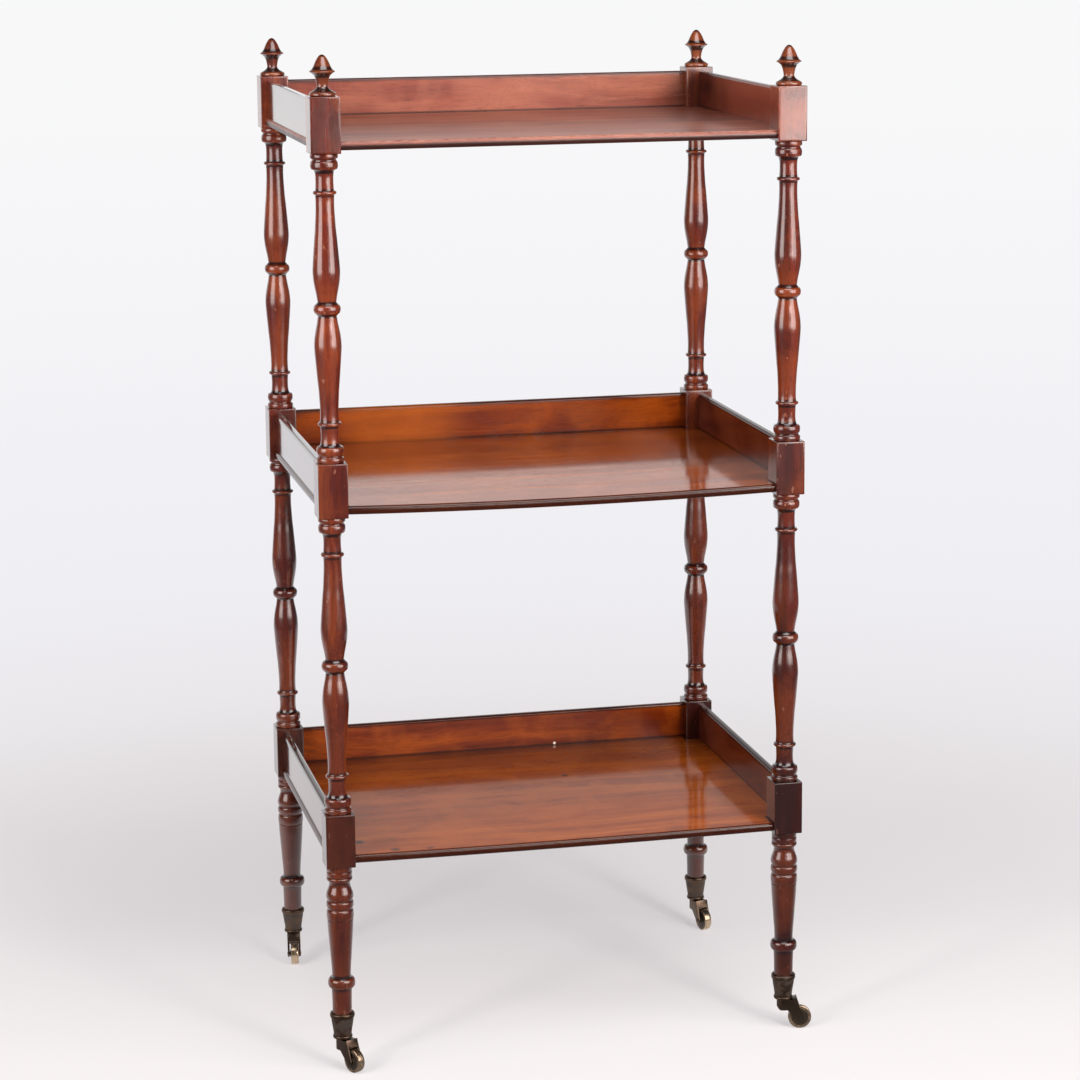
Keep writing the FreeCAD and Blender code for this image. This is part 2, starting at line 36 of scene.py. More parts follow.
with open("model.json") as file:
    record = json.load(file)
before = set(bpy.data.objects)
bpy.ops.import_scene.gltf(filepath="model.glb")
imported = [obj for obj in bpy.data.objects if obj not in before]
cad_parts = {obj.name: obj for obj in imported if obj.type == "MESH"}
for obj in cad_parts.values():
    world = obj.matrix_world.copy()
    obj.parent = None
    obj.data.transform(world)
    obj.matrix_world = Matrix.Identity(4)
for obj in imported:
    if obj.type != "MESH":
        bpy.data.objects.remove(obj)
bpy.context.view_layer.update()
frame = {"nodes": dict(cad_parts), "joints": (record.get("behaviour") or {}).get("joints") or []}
MM = 0.001

CORNERS = ("front_left", "front_right", "back_left", "back_right")
TIERS = ("lower", "middle", "upper")
FOOT_HEIGHT = 35
LEG_HEIGHT = 195.6
TIER_PITCH = 382
BLOCK_SIDE = 31.6
BLOCK_HEIGHT = 58.5


def tier_base(tier):
    """Lower end of a tier's blocks above the floor."""
    return FOOT_HEIGHT + LEG_HEIGHT + tier * TIER_PITCH


def corner_centre(corner):
    """Where a post's axis stands on the floor, in metres."""
    low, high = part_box(f"post_{corner}")
    return (low.x + high.x) / 2, (low.y + high.y) / 2


# --- Node trees -----------------------------------------------------------------------------


def add(tree, kind, settings=None, links=None):
    """Adds a node with its settings, and a value, a socket or another node for each input."""
    made = tree.nodes.new(kind)
    for name, setting in (settings or {}).items():
        if name == "stops":
            elements = made.color_ramp.elements
            while len(elements) < len(setting):
                elements.new(0.5)
            for element, (position, colour) in zip(elements, setting):
                element.position = position
                element.color = paint(colour)
        else:
            setattr(made, name, setting)
    for name, source in (links or {}).items():
        if isinstance(name, int):
            socket = made.inputs[name]
        else:
            socket = next(s for s in made.inputs if s.enabled and s.name == name)
        if isinstance(source, bpy.types.Node):
            source = next(s for s in source.outputs if s.enabled)
        if isinstance(source, bpy.types.NodeSocket):
            tree.links.new(source, socket)
        else:
            socket.default_value = source
    return made


def paint(hex_colour):
    """An sRGB hex colour as linear light."""
    channels = [int(hex_colour[i : i + 2], 16) / 255 for i in (1, 3, 5)]
    linear = [c / 12.92 if c <= 0.04045 else ((c + 0.055) / 1.055) ** 2.4 for c in channels]
    return (*linear, 1)


# --- Finishes -------------------------------------------------------------------------------

NOISE = "ShaderNodeTexNoise"
RANGE = "ShaderNodeMapRange"
MATH = "ShaderNodeMath"
VECTOR_MATH = "ShaderNodeVectorMath"
MIX = "ShaderNodeMix"
SMOOTH = {"interpolation_type": "SMOOTHSTEP"}
COLOURS = {"data_type": "RGBA"}

# Clear and smeared are the roughness of the polish at its best and where it is handled;
# mirror is its strength, coat and coat_rough are the hard skin over it, and ripple is how
# far it follows the open grain.
Polish = namedtuple("Polish", "clear smeared mirror coat coat_rough ripple")
# A soft round patch of another colour; its centre and radius are in millimetres. It is full
# within two fifths of its radius, and ends at its radius.
Mark = namedtuple("Mark", "centre radius colour strength")


def new_finish(name):
    """An empty material and its node tree."""
    finish = bpy.data.materials.new(name)
    finish.use_nodes = True
    finish.node_tree.nodes.clear()
    return finish, finish.node_tree


def coated(tree, ground, coats):
    """Lays coats over a ground colour, and gives the last colour and the mask of each coat.

    A coat holds what drives it, where it starts and where it is full, its strength and its
    colour.
    """
    masks = {}
    for name, (source, start, full, strength, colour) in coats.items():
        masks[name] = add(
            tree, RANGE, SMOOTH,
            {"Value": source, "From Min": start, "From Max": full, "To Max": strength},
        )
        ground = add(tree, MIX, COLOURS, {"Factor": masks[name], "A": ground, "B": paint(colour)})
    return ground, masks


PORE_STRENGTH = 0.30
KNOCK_ROUGHNESS = 0.8  # bare wood, where a knock has gone through the polish


def polished_mahogany(
    name, grain, colours, grime_and_shade, worn, polish, knocked=0.0, floor_shade=0.0, marks=()
):
    """Mahogany, planed or turned and then French polished.

    Long wavy figure, fine streaks and short open pores run along the grain, under a clear
    hard polish that mirrors softly and goes pale at a low angle. Hollows hold dark wax and
    painted shade, and the same darkening is painted shade on the lower blocks, under the
    nosings, at the backs of the shelves and on the board tops; the wood is also painted
    darker towards the floor as shade. Arrises are rubbed back to lighter wood, which on the
    upper shelf's edge also paints a highlight, and small knocks go through the polish.
    """
    finish, tree = new_finish(name)
    dark, middle, pale = colours
    place = add(tree, "ShaderNodeTexCoord").outputs["Object"]
    crest = add(tree, "ShaderNodeAttribute", {"attribute_name": "crest"}).outputs["Fac"]
    hollow = add(tree, "ShaderNodeAttribute", {"attribute_name": "hollow"}).outputs["Fac"]
    level = add(tree, "ShaderNodeSeparateXYZ", {}, {"Vector": place}).outputs["Z"]

    # The grain wanders by a few millimetres over a hand's breadth.
    wander = add(tree, NOISE, {}, {"Vector": place, "Scale": 6, "Detail": 2})
    bent = add(
        tree, VECTOR_MATH, {"operation": "MULTIPLY_ADD"},
        {0: wander.outputs["Color"], 1: (0.03, 0.03, 0.03), 2: place},
    )
    stretch = {"X": (0.05, 1, 1), "Y": (1, 0.05, 1), "Z": (1, 1, 0.05)}[grain]
    along = add(tree, "ShaderNodeMapping", {}, {"Vector": bent, "Scale": stretch})
    knocks = [max(share, 0.45) for share in stretch]
    struck = add(tree, "ShaderNodeMapping", {}, {"Vector": place, "Scale": knocks})

    # A noise of scale 34 is about 30 mm across, which is the width of the figure.
    figure = add(
        tree, NOISE, {},
        {"Vector": along, "Scale": 34, "Detail": 4, "Roughness": 0.55, "Distortion": 0.6},
    )
    # Streaks are about 4 mm wide, and the cloudy mottle about 60 mm.
    streaks = add(tree, NOISE, {}, {"Vector": along, "Scale": 230, "Detail": 3, "Roughness": 0.6})
    mottle = add(tree, NOISE, {}, {"Vector": place, "Scale": 15, "Detail": 3, "Distortion": 0.5})
    # Pores are 0.25 mm wide in the wood; they are drawn 0.8 mm wide so that they show.
    pores = add(tree, NOISE, {}, {"Vector": along, "Scale": 1150, "Detail": 1})
    # Rubbed places break up at about 8 mm, and knocks are 2 to 4 mm, longer along the grain.
    breaks = add(tree, NOISE, {}, {"Vector": place, "Scale": 130, "Detail": 4})
    rubbed_and_lit = add(tree, MATH, {"operation": "MULTIPLY"}, {0: crest, 1: breaks})
    dents = add(tree, NOISE, {}, {"Vector": struck, "Scale": 150, "Detail": 2})

    coats = {
        "streaks": (streaks, 0.38, 0.70, 0.45, dark),
        "mottle": (mottle, 0.42, 0.68, 0.55, pale),
        "pores": (pores, 0.56, 0.68, PORE_STRENGTH, grime_and_shade),
        # Arrises are rubbed to lighter wood; on the upper shelf's edge this also paints a
        # highlight.
        "wear_and_highlight": (rubbed_and_lit, 0.30, 0.62, 0.75, worn),
        "knocks": (dents, 0.69, 0.76, knocked, worn),
        # Painted shade: the wood is darker towards the floor.
        "painted_floor_shade": (level, 1.0, 0.1, floor_shade, grime_and_shade),
        # Old wax and painted shade: the turned hollows, blocks, nosings, shelf backs and board
        # tops.
        "wax_and_shade": (hollow, 0.05, 0.8, 0.92, grime_and_shade),
    }
    for index, mark in enumerate(marks):
        centre = [v * MM for v in mark.centre]
        gap = add(tree, VECTOR_MATH, {"operation": "DISTANCE"}, {0: place, 1: centre})
        edge = mark.radius * MM
        coats[f"mark {index}"] = (gap, edge, 0.4 * edge, mark.strength, mark.colour)
    stops = [(0.32, dark), (0.50, middle), (0.68, pale)]
    wood = add(tree, "ShaderNodeValToRGB", {"stops": stops}, {"Fac": figure})
    shade, masks = coated(tree, wood, coats)

    smears = add(tree, NOISE, {}, {"Vector": along, "Scale": 24, "Detail": 5, "Roughness": 0.65})
    sheen = add(
        tree, RANGE, SMOOTH,
        {"Value": smears, "From Min": 0.3, "From Max": 0.7,
         "To Min": polish.clear, "To Max": polish.smeared},
    )
    rough = add(
        tree, MIX, {"data_type": "FLOAT"},
        {"Factor": masks["knocks"], "A": sheen, "B": KNOCK_ROUGHNESS},
    )
    # The polish has a faint ripple left by the rubber, and the open grain shows through it.
    ripple = add(tree, NOISE, {}, {"Vector": along, "Scale": 80, "Detail": 2})
    skin = add(
        tree, "ShaderNodeBump", {},
        {"Strength": polish.ripple, "Distance": 0.3 * MM, "Height": ripple},
    )
    relief = add(
        tree, MATH, {"operation": "MULTIPLY_ADD"},
        {0: masks["pores"], 1: -1 / PORE_STRENGTH, 2: streaks},
    )
    open_grain = add(
        tree, "ShaderNodeBump", {},
        {"Strength": polish.ripple, "Distance": 0.12 * MM, "Height": relief, "Normal": skin},
    )
    surface = add(
        tree,
        "ShaderNodeBsdfPrincipled",
        {},
        {
            "Base Color": shade,
            "Roughness": rough,
            "Normal": open_grain,
            "IOR": 1.5,
            "Specular IOR Level": polish.mirror,
            "Coat Weight": polish.coat,
            "Coat Roughness": polish.coat_rough,
            "Coat IOR": 1.5,
        },
    )
    add(tree, "ShaderNodeOutputMaterial", {}, {"Surface": surface})
    return finish


def aged_metal(name, bare, tarnish, crust, patches, cover, roughness):
    """A cast and turned metal that has darkened in use.

    Tarnish lies over the metal in soft patches, thick in the hollows and rubbed off the
    crests, with a fine cast grain under it. Patches is how many go to a metre; the lower
    the cover, the more of the metal they hide.
    """
    finish, tree = new_finish(name)
    place = add(tree, "ShaderNodeTexCoord").outputs["Object"]
    crest = add(tree, "ShaderNodeAttribute", {"attribute_name": "crest"}).outputs["Fac"]
    hollow = add(tree, "ShaderNodeAttribute", {"attribute_name": "hollow"}).outputs["Fac"]
    cloud = add(
        tree, NOISE, {}, {"Vector": place, "Scale": patches, "Detail": 5, "Roughness": 0.65}
    )
    # Cast grain is about 0.2 mm; it is drawn at 0.7 mm.
    grain = add(tree, NOISE, {}, {"Vector": place, "Scale": 1400, "Detail": 2})
    left_on = add(tree, MATH, {"operation": "MULTIPLY_ADD"}, {0: crest, 1: -0.25, 2: cloud})
    coats = {
        "tarnish": (left_on, cover, cover + 0.22, 1.0, tarnish),
        "crust": (hollow, 0.1, 0.9, 0.9, crust),
        "pits": (grain, 0.55, 0.75, 0.4, crust),
    }
    shade, masks = coated(tree, paint(bare), coats)
    sheen = add(
        tree, RANGE, SMOOTH,
        {"Value": left_on, "From Min": 0.3, "From Max": 0.7,
         "To Min": roughness[0], "To Max": roughness[1]},
    )
    bump = add(
        tree, "ShaderNodeBump", {}, {"Strength": 0.4, "Distance": 0.1 * MM, "Height": grain}
    )
    # Thick tarnish is an earthy skin that mirrors much less than the bare metal.
    bright = add(
        tree, RANGE, SMOOTH, {"Value": masks["tarnish"], "To Min": 1.0, "To Max": 0.48}
    )
    surface = add(
        tree,
        "ShaderNodeBsdfPrincipled",
        {},
        {"Base Color": shade, "Metallic": bright, "Roughness": sheen, "Normal": bump},
    )
    add(tree, "ShaderNodeOutputMaterial", {}, {"Surface": surface})
    return finish


TURNED_POLISH = Polish(
    clear=0.16, smeared=0.26, mirror=0.9, coat=0.8, coat_rough=0.15, ripple=0.22
)
# Plum-brown turned wood: the darkest of the stand, with orange lights where it is rubbed.
# The upper block at the back right is darker still where it faces into its corner;
# this is painted shade.
POST_WOOD = polished_mahogany(
    "french_polished_turned_mahogany",
    "Z",
    ("#34110b", "#652115", "#8f4019"),
    grime_and_shade="#150506",
    worn="#a8623c",
    polish=TURNED_POLISH,
    knocked=0.6,
    # Painted shade: darker towards the floor.
    floor_shade=0.58,
    marks=[Mark((254, 162, 1010), 74, "#1e0c0b", 0.62)],
)
# The finials are of a lighter, more orange piece of the same wood.
FINIAL_WOOD = polished_mahogany(
    "french_polished_finial_mahogany",
    "Z",
    ("#40150e", "#6a2c1a", "#904c27"),
    grime_and_shade="#180806",
    worn="#bf7a48",
    polish=TURNED_POLISH,
    knocked=0.5,
)
# Shelf boards: golden brown, with the longest figure and the best polish. They carry a few
# dark spots, and the middle one is darker towards its right end, which is a painted
# reflection of the dark right board and back right post.
SHELF_WOOD = polished_mahogany(
    "french_polished_shelf_mahogany",
    "X",
    ("#853b0f", "#a04b15", "#b65e1c"),
    grime_and_shade="#180607",
    worn="#b87848",
    polish=Polish(clear=0.06, smeared=0.12, mirror=0.5, coat=0.0, coat_rough=0.1, ripple=0.07),
    marks=[
        Mark((262, 40, 624.6), 170, "#54200f", 0.5),
        Mark((-231, -139, 242.6), 9, "#2a0f0a", 0.8),
        Mark((-196, -174, 242.6), 8, "#2a0f0a", 0.6),
        Mark((-158, -177, 242.6), 6, "#2a0f0a", 0.5),
        Mark((47, 59, 242.6), 6, "#38160c", 0.7),
        Mark((-57, -119, 624.6), 5, "#5a2c20", 0.7),
        Mark((-64, -152, 624.6), 4, "#5a2c20", 0.7),
    ],
)
# The upper shelf is paler and pinker, painted light for the brighter top tier and its glare,
# and its polish is duller from dusting. Its dark patch at the back right is a painted
# reflection of the back right post, and its worn colour paints the pale highlight on its edge.
UPPER_SHELF_WOOD = polished_mahogany(
    "painted_light_french_polished_shelf_mahogany",
    "X",
    ("#7c3a2c", "#9c4f38", "#b2684a"),
    grime_and_shade="#180607",
    worn="#cb9886",
    polish=Polish(clear=0.28, smeared=0.36, mirror=0.8, coat=0.0, coat_rough=0.1, ripple=0.12),
    marks=[Mark((250, 80, 1006.6), 190, "#4a1f18", 0.5)],
)
# Back boards: deep orange-brown, with one paler patch and one small pale chip.
BACK_BOARD_WOOD = polished_mahogany(
    "french_polished_gallery_mahogany_long",
    "X",
    ("#4e1908", "#722b0a", "#9c4910"),
    grime_and_shade="#1c0805",
    worn="#b8784a",
    polish=Polish(clear=0.10, smeared=0.16, mirror=0.5, coat=0.0, coat_rough=0.1, ripple=0.15),
    marks=[
        Mark((-120, 189, 655), 95, "#c06412", 0.35),
        Mark((65, 189, 245), 2.2, "#e9dfd0", 1.0),
    ],
)
# The upper back board is paler and pinker like its shelf, painted light of the top tier, and
# dark in its right corner, which is painted shade.
UPPER_BACK_BOARD_WOOD = polished_mahogany(
    "painted_light_french_polished_gallery_mahogany",
    "X",
    ("#642e27", "#8b4535", "#aa664e"),
    grime_and_shade="#1c0805",
    worn="#b8784a",
    polish=Polish(clear=0.24, smeared=0.34, mirror=0.6, coat=0.0, coat_rough=0.1, ripple=0.2),
    marks=[Mark((256, 189, 1016), 70, "#24100c", 0.6)],
)
# Left boards: nearly black wood under a full, glassy coat that mirrors the room.
LEFT_BOARD_WOOD = polished_mahogany(
    "french_polished_gallery_mahogany_short",
    "Y",
    ("#32100b", "#491b12", "#60301e"),
    grime_and_shade="#180805",
    worn="#b8784a",
    polish=Polish(clear=0.10, smeared=0.16, mirror=1.0, coat=1.0, coat_rough=0.06, ripple=0.05),
)
# Right boards: dark red-brown with a thinner polish; the upper one is paler towards its front.
RIGHT_BOARD_WOOD = polished_mahogany(
    "worn_french_polished_gallery_mahogany",
    "Y",
    ("#38140d", "#532015", "#6c3522"),
    grime_and_shade="#180805",
    worn="#b8784a",
    polish=Polish(clear=0.16, smeared=0.24, mirror=0.5, coat=0.0, coat_rough=0.1, ripple=0.1),
    marks=[Mark((257, -50, 1024), 180, "#8c4634", 0.55)],
)
# Cups: dull grey-brown, brassy only on the rolled rims.
CUP_BRASS = aged_metal(
    "aged_cast_brass_cup", "#6b584a", "#4c433d", "#1c1714", 90, 0.36, (0.36, 0.56)
)
# Forks: the same brass, a little darker where hands and brooms do not reach.
FORK_BRASS = aged_metal(
    "aged_cast_brass_fork", "#6b5a4d", "#4a4038", "#181412", 110, 0.34, (0.32, 0.54)
)
# Wheels: the tread is worn bright, and the sides are dark.
WHEEL_BRASS = aged_metal(
    "worn_turned_brass_wheel", "#d6bea0", "#6a5c4d", "#1e1814", 140, 0.27, (0.26, 0.50)
)
# Screws: as brown as the cups, in smaller patches.
SCREW_BRASS = aged_metal(
    "aged_brass_screw", "#6b584a", "#4c433d", "#1c1714", 300, 0.38, (0.35, 0.55)
)
# Pins: grey iron with a black skin.
PIN_IRON = aged_metal(
    "darkened_iron_pin", "#5c5650", "#2c2926", "#100e0d", 260, 0.45, (0.35, 0.60)
)


# --- Turned profiles ------------------------------------------------------------------------

# A profile is a list of cuts, each a height and a radius, from the bottom up.

FULLNESS = 0.8  # below 1, a bead is fuller than a half circle


def bead(low, high, foot, crest, steps=10):
    """A half-round that stands from radius foot to radius crest."""
    middle, half = (low + high) / 2, (high - low) / 2
    turns = [math.pi * k / steps for k in range(steps + 1)]
    return [
        (middle - half * math.cos(turn), foot + (crest - foot) * math.sin(turn) ** FULLNESS)
        for turn in turns
    ]


def band(low, high, radius, ease=0.5):
    """A straight collar with eased edges."""
    nip = ease * 0.3
    return [
        (low, radius - ease),
        (low + nip, radius - nip),
        (low + ease, radius),
        (high - ease, radius),
        (high - nip, radius - nip),
        (high, radius - ease),
    ]


def swell(points, step=1.6):
    """A flowing line through points that makes no bumps of its own between them."""
    runs = [(b[0] - a[0], (b[1] - a[1]) / (b[0] - a[0])) for a, b in zip(points, points[1:])]
    slopes = [runs[0][1]]
    for (run_a, slope_a), (run_b, slope_b) in zip(runs, runs[1:]):
        if slope_a * slope_b <= 0:
            slopes.append(0.0)
        else:
            slopes.append((run_a + run_b) / (run_a / slope_b + run_b / slope_a))
    slopes.append(runs[-1][1])
    line = []
    for index, (run, _slope) in enumerate(runs):
        (height, radius), (_top, next_radius) = points[index], points[index + 1]
        count = max(1, round(run / step))
        for k in range(count):
            t = k / count
            line.append(
                (
                    height + t * run,
                    radius * (2 * t**3 - 3 * t**2 + 1)
                    + next_radius * (3 * t**2 - 2 * t**3)
                    + run * slopes[index] * (t**3 - 2 * t**2 + t)
                    + run * slopes[index + 1] * (t**3 - t**2),
                )
            )
    return line + [points[-1]]


SPINDLE_HALF = 161.75
HALF_SPINDLE = (
    band(0, 5.4, 14.6, 1.3)
    + swell([(5.8, 13.0), (6.6, 12.7), (7.4, 13.0)], 0.5)
    + bead(7.8, 16.6, 12.9, 14.5, 12)
    + swell([(16.9, 11.6), (17.6, 10.8), (19.5, 10.0), (29, 9.3), (38.3, 9.7)])
    + bead(38.8, 42.6, 10.2, 12.4)
    + swell(
        [
            (43.1, 10.0),
            (50, 9.65),
            (56, 9.7),
            (66.5, 10.2),
            (77, 10.85),
            (88, 11.9),
            (98.5, 12.75),
            (109, 13.6),
            (122.5, 14.4),
            (131, 13.9),
            (139.5, 12.6),
            (148, 10.9),
            (154.6, 9.9),
        ]
    )
)


def spindle(low):
    """The turning between two blocks, the same from both ends."""
    knop = [(SPINDLE_HALF - 6.2, 10.9), (SPINDLE_HALF - 5.3, 11.6)]
    knop += bead(SPINDLE_HALF - 4.9, SPINDLE_HALF + 4.9, 11.2, 14.3, 14)
    knop += [(SPINDLE_HALF + 5.3, 11.6), (SPINDLE_HALF + 6.2, 10.9)]
    down = [(2 * SPINDLE_HALF - height, radius) for height, radius in reversed(HALF_SPINDLE)]
    return [(low + height, radius) for height, radius in HALF_SPINDLE + knop + down]


LEG = (
    swell([(24, 10.4), (34.5, 10.5), (49.7, 10.8), (54.3, 11.0), (57.0, 11.3)], 3)
    + bead(57.5, 68.7, 11.5, 14.9, 14)
    + swell(
        [
            (69.2, 10.6),
            (71.8, 10.2),
            (81.1, 10.6),
            (92.8, 11.5),
            (104.4, 12.3),
            (116, 13.15),
            (127.6, 13.9),
            (134.2, 14.1),
        ]
    )
    + bead(134.6, 146.2, 13.5, 14.8)
    + swell([(146.6, 13.3), (147.8, 13.3)], 0.6)
    + bead(148.2, 155.9, 13.5, 14.85)
    + swell([(156.3, 13.4), (157.4, 13.4)], 0.6)
    + swell(
        [
            (157.7, 13.7),
            (158.9, 14.5),
            (161.1, 14.85),
            (164.5, 14.4),
            (168.5, 13.1),
            (172, 11.9),
            (174.9, 11.4),
            (177.2, 11.9),
            (178.6, 12.9),
        ],
        0.9,
    )
    + bead(179.0, 182.4, 13.1, 14.1, 8)
    + [(182.8, 12.7)]
    + band(183.3, 188.6, 13.8)
    + [(189.0, 12.9)]
    + band(189.4, 196.2, 13.8)
)
FINIAL = (
    [(-1, 12.0)]
    + bead(0.1, 3.9, 12.6, 14.0, 8)
    + swell(
        [
            (4.3, 12.3),
            (5.0, 10.9),
            (5.9, 9.3),
            (7.9, 6.9),
            (10.5, 5.7),
            (15.3, 6.35),
            (19.5, 7.65),
            (21.9, 8.9),
        ],
        0.8,
    )
    + swell(
        [(22.2, 9.6), (23.7, 11.3), (24.6, 12.9), (25.3, 13.45), (25.9, 13.1), (26.5, 12.0)],
        0.35,
    )
    + swell(
        [
            (26.9, 11.3),
            (27.9, 10.6),
            (30, 9.3),
            (34.2, 7.5),
            (38.4, 5.2),
            (40.9, 3.3),
            (42.2, 1.5),
            (42.6, 0.0),
        ],
        0.7,
    )
)
CUP = (
    [(0.0, 0.0), (0.0, 9.6)]
    + bead(0.05, 3.1, 9.7, 10.65, 8)
    + swell([(3.5, 9.75), (5.2, 9.8), (12.2, 10.7), (19.3, 11.85), (23.2, 12.35)])
    + bead(23.5, 28.5, 12.5, 13.5)
    + [(28.7, 12.2), (28.9, 11.7), (28.9, 11.1), (28.4, 10.7), (27.4, 10.2), (27.4, 0.0)]
)
# The wheel about its axle: a small hub, a shallow dish, a raised rim and a rounded tread.
HALF_WHEEL = [
    (-4.9, 0.0),
    (-4.9, 3.3),
    (-4.6, 3.7),
    (-3.9, 4.1),
    (-3.7, 4.8),
    (-3.7, 8.6),
    (-3.9, 9.3),
    (-4.6, 9.8),
    (-4.9, 10.3),
    (-4.95, 11.2),
    (-4.8, 11.9),
    (-4.3, 12.5),
    (-3.4, 12.85),
    (-2.0, 12.98),
]
WHEEL = HALF_WHEEL + [(0.0, 13.0)] + [(-along, radius) for along, radius in reversed(HALF_WHEEL)]
DISH_EDGE, RIM_EDGE, TREAD_EDGE = 9.5, 11.5, 12.2
# Old polish cakes in the dish and thins out over the rim; the tread is rubbed bright.
WHEEL_MARKS = [
    (
        0.7 if radius < DISH_EDGE else 0.3 if radius < RIM_EDGE else 0.0,
        1.0 if radius > TREAD_EDGE else 0.2,
    )
    for _along, radius in WHEEL
]


# --- Turning --------------------------------------------------------------------------------


def turning_tree():
    """Geometry nodes that turn a profile about Z: its points carry the radius of each cut."""
    tree = bpy.data.node_groups.new("turn_on_lathe", "GeometryNodeTree")
    for name, kind, default in (
        ("Profile", "NodeSocketGeometry", None),
        ("Cuts around", "NodeSocketInt", 64),
        ("Finish", "NodeSocketMaterial", None),
    ):
        socket = tree.interface.new_socket(name, in_out="INPUT", socket_type=kind)
        if default is not None:
            socket.default_value = default
    tree.interface.new_socket("Turned", in_out="OUTPUT", socket_type="NodeSocketGeometry")
    given = tree.nodes.new("NodeGroupInput").outputs
    radius = add(
        tree, "GeometryNodeInputNamedAttribute", {"data_type": "FLOAT"}, {"Name": "radius_of_cut"}
    )
    line = add(tree, "GeometryNodeMeshToCurve", {}, {"Mesh": given["Profile"]})
    ring = add(
        tree,
        "GeometryNodeCurvePrimitiveCircle",
        {"mode": "RADIUS"},
        {"Resolution": given["Cuts around"], "Radius": 1.0},
    )
    swept = add(
        tree,
        "GeometryNodeCurveToMesh",
        {},
        {
            "Curve": line.outputs["Curve"],
            "Profile Curve": ring.outputs["Curve"],
            "Scale": radius.outputs["Attribute"],
            "Fill Caps": True,
        },
    )
    whole = add(tree, "GeometryNodeRealizeInstances", {}, {"Geometry": swept.outputs["Mesh"]})
    finished = add(
        tree,
        "GeometryNodeSetMaterial",
        {},
        {"Geometry": whole.outputs["Geometry"], "Material": given["Finish"]},
    )
    add(tree, "NodeGroupOutput", {}, {"Turned": finished.outputs["Geometry"]})
    return tree


LATHE = turning_tree()


def cut_marks(cuts, reach=3.5):
    """How hollow and how proud each cut is against the line of the profile around it."""
    shallow, deep, most_proud = 0.7, 3.2, 0.66
    marks = []
    for height, radius in cuts:
        near = [r for h, r in cuts if abs(h - height) <= reach]
        mean = sum(near) / len(near)
        depth = max(near) - radius - shallow
        hollow = min(1.0, max(0.0, depth / deep)) if radius < mean else 0.0
        marks.append((hollow, min(most_proud, max(0.0, radius - mean))))
    return marks


HAIR = 0.004  # two cuts at one height stand this far apart, so that the line has a direction
TIP = 0.001  # least radius of a cut
WELD = 0.003  # vertices closer than this are one


def turned(name, cuts, finish, around, place, marks=None):
    """A mesh turned about Z from cuts in millimetres, then put in its place."""
    line = bpy.data.meshes.new(name + "_line")
    heights = [cuts[0][0]]
    for height, _radius in cuts[1:]:
        heights.append(max(height, heights[-1] + HAIR))
    count = len(cuts)
    line.from_pydata([(0, 0, h * MM) for h in heights], [(k, k + 1) for k in range(count - 1)], [])
    marks = marks or cut_marks(cuts)
    for key, values in (
        ("radius_of_cut", [max(radius, TIP) * MM for _h, radius in cuts]),
        ("hollow", [mark[0] for mark in marks]),
        ("crest", [mark[1] for mark in marks]),
    ):
        line.attributes.new(key, "FLOAT", "POINT").data.foreach_set("value", values)
    blank = bpy.data.objects.new(name + "_blank", line)
    bpy.context.scene.collection.objects.link(blank)
    work = blank.modifiers.new("lathe", "NODES")
    work.node_group = LATHE
    sockets = {item.name: item.identifier for item in LATHE.interface.items_tree}
    work[sockets["Cuts around"]] = around
    work[sockets["Finish"]] = finish
    ready = blank.evaluated_get(bpy.context.evaluated_depsgraph_get())
    mesh = bpy.data.meshes.new_from_object(ready)
    bpy.data.objects.remove(blank)
    bm = bmesh.new()
    bm.from_mesh(mesh)
    bmesh.ops.remove_doubles(bm, verts=bm.verts, dist=WELD * MM)
    bmesh.ops.transform(bm, matrix=place, verts=bm.verts)
    bmesh.ops.recalc_face_normals(bm, faces=bm.faces)
    for face in bm.faces:
        face.smooth = True
    bpy.data.meshes.remove(mesh)
    return bm


def finished_piece(name, bm, finish, body, nodes, flat_angle=40):
    """Makes a piece from its mesh: it rides its body and takes the place of its nodes."""
    mesh = bpy.data.meshes.new(name)
    bm.to_mesh(mesh)
    bm.free()
    mesh.materials.clear()
    mesh.materials.append(finish)
    for polygon in mesh.polygons:
        polygon.material_index = 0
        polygon.use_smooth = True
    mesh.set_sharp_from_angle(angle=math.radians(flat_angle))
    piece = bpy.data.objects.new(name, mesh)
    bpy.context.scene.collection.objects.link(piece)
    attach(piece, body)
    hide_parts(*nodes)


def skinned(bm, loops):
    """Skins a row of loops of vertices, and closes both ends."""
    count = len(loops[0])
    for first, second in zip(loops, loops[1:]):
        for k in range(count):
            after = (k + 1) % count
            bm.faces.new((first[k], first[after], second[after], second[k]))
    bm.faces.new(list(reversed(loops[0])))
    bm.faces.new(loops[-1])


def joined(first, second):
    """Adds the second mesh to the first."""
    spare = bpy.data.meshes.new("spare")
    second.to_mesh(spare)
    second.free()
    first.from_mesh(spare)
    bpy.data.meshes.remove(spare)
    return first


def marked(bm):
    """The two layers that tell the finish where it is worn, and where wax and painted shade darken
    it.
    """
    layers = bm.verts.layers.float
    return (
        layers.get("hollow") or layers.new("hollow"),
        layers.get("crest") or layers.new("crest"),
    )


ARRIS_WEAR = 0.62


